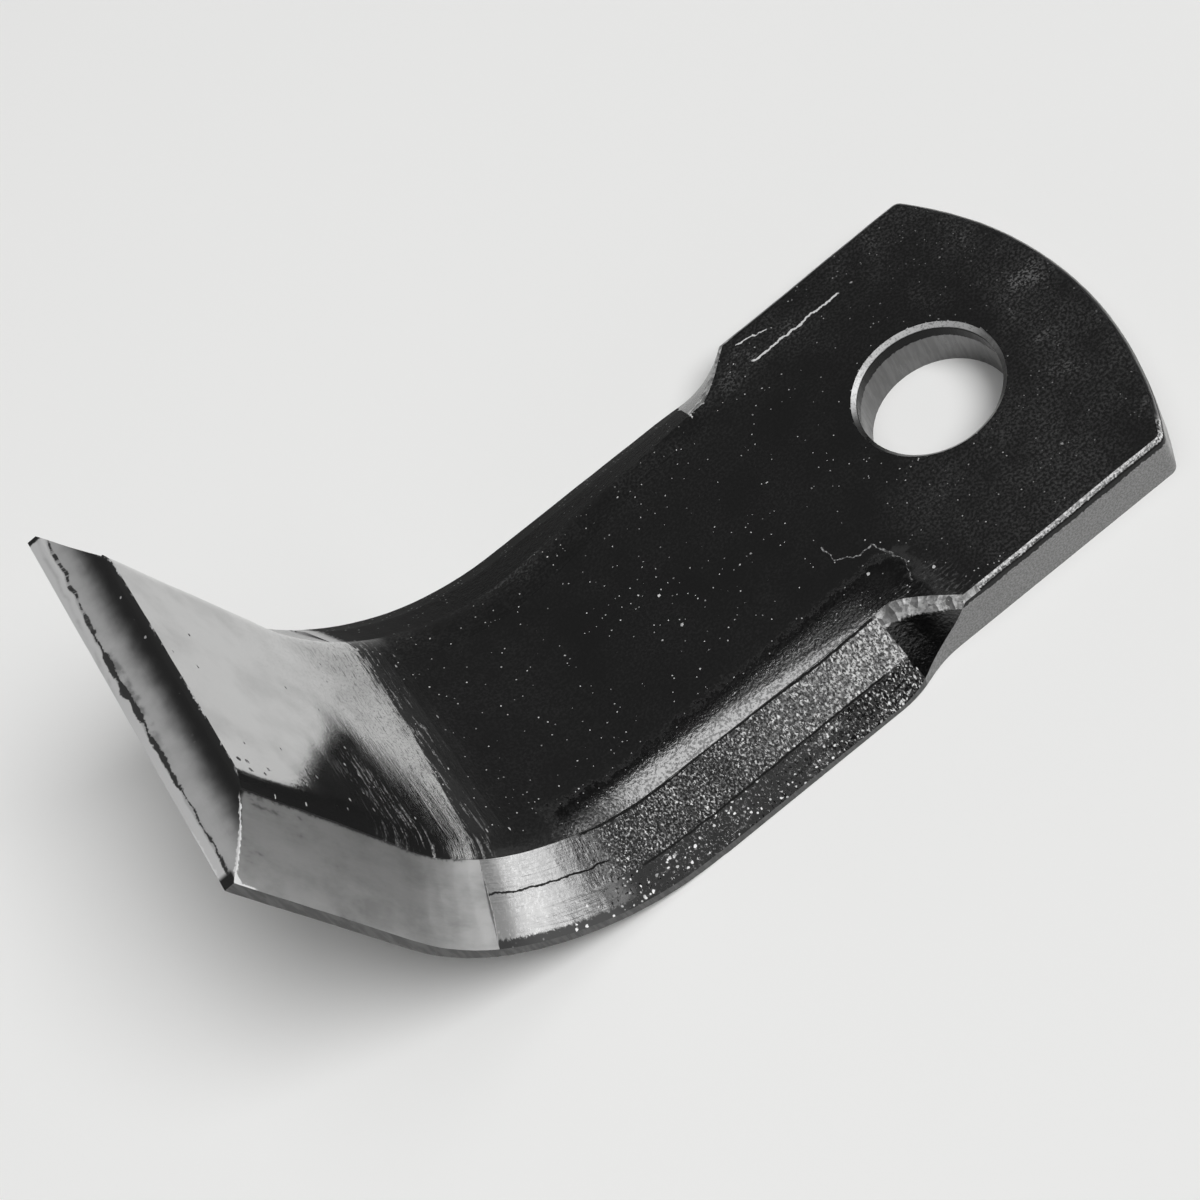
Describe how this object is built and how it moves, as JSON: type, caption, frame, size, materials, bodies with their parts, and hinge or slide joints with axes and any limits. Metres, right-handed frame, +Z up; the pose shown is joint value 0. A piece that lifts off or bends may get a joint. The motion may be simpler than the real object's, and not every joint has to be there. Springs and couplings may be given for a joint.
{
  "type": "mulcher_blade",
  "caption": "Forged steel mulcher blade with a flat bolt-on shank, a rounded head with one bore, bevelled sides and a wing bent up across its end for cutting and shredding.",
  "frame": {"origin": "the centre of the bolt bore, on the flat underside of the shank", "axes": "+Z runs up the bore, away from the underside; +X runs along the shank to the rounded end of the head, so that the wing stands at the -X end; +Y runs across the blade"},
  "size_m": [0.1288, 0.0642, 0.0595],
  "materials": {
    "forged_steel": "glossy black over a pitted forged surface, with the wing's sides ground bare"
  },
  "bodies": {
    "root": {"blade": "forged_steel"}
  },
  "joints": []
}
